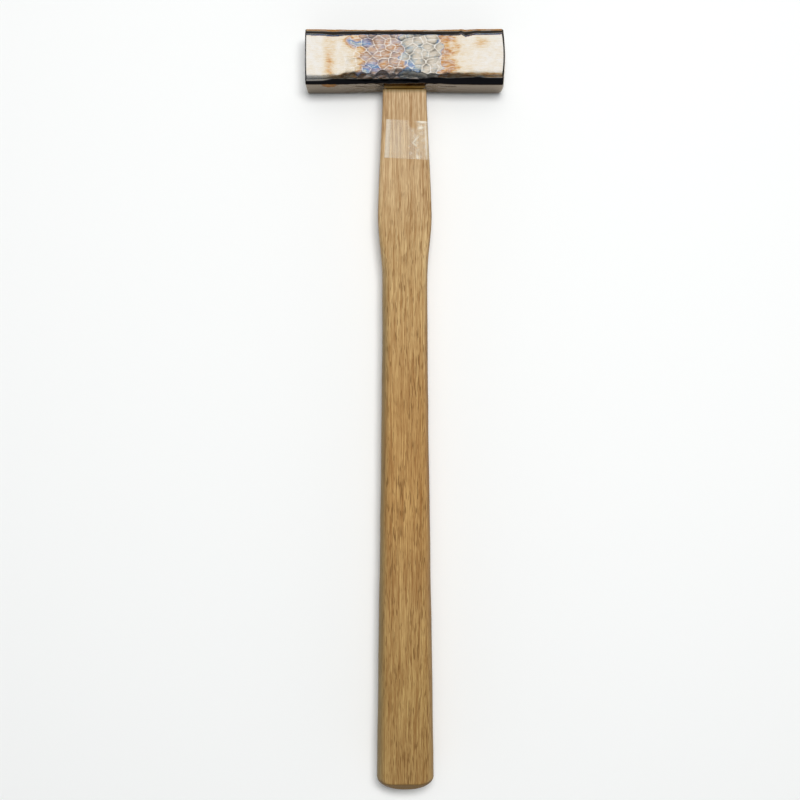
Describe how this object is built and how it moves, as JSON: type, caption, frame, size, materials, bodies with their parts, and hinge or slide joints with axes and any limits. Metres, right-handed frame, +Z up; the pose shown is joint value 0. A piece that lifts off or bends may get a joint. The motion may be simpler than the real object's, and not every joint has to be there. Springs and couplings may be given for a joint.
{
  "type": "carpenters hammer",
  "caption": "Double-faced carpenter's hammer: square steel head with a hammered finish, wedged on a straight oak handle that swells below the head and flares to the butt.",
  "frame": {"origin": "middle of the bounding box at its underside: the bench surface that the hammer lies on, half way between the butt and the far side of the head", "axes": "+X along the head towards its crowned striking face, +Y along the handle from the butt to the head, +Z up from the bench"},
  "size_m": [0.0914, 0.3468, 0.0254],
  "materials": {
    "head_steel": "hammered dents, polished ridges, temper colours in the dents",
    "oak": "bare oiled oak, open pores",
    "wedge_steel": "dull forged steel",
    "tape_film": "clear adhesive strip with a whitish bloom"
  },
  "bodies": {
    "root": {"hammer_head": "head_steel", "handle": "oak", "steel_wedge": "wedge_steel", "clear_tape": "tape_film"}
  },
  "joints": []
}
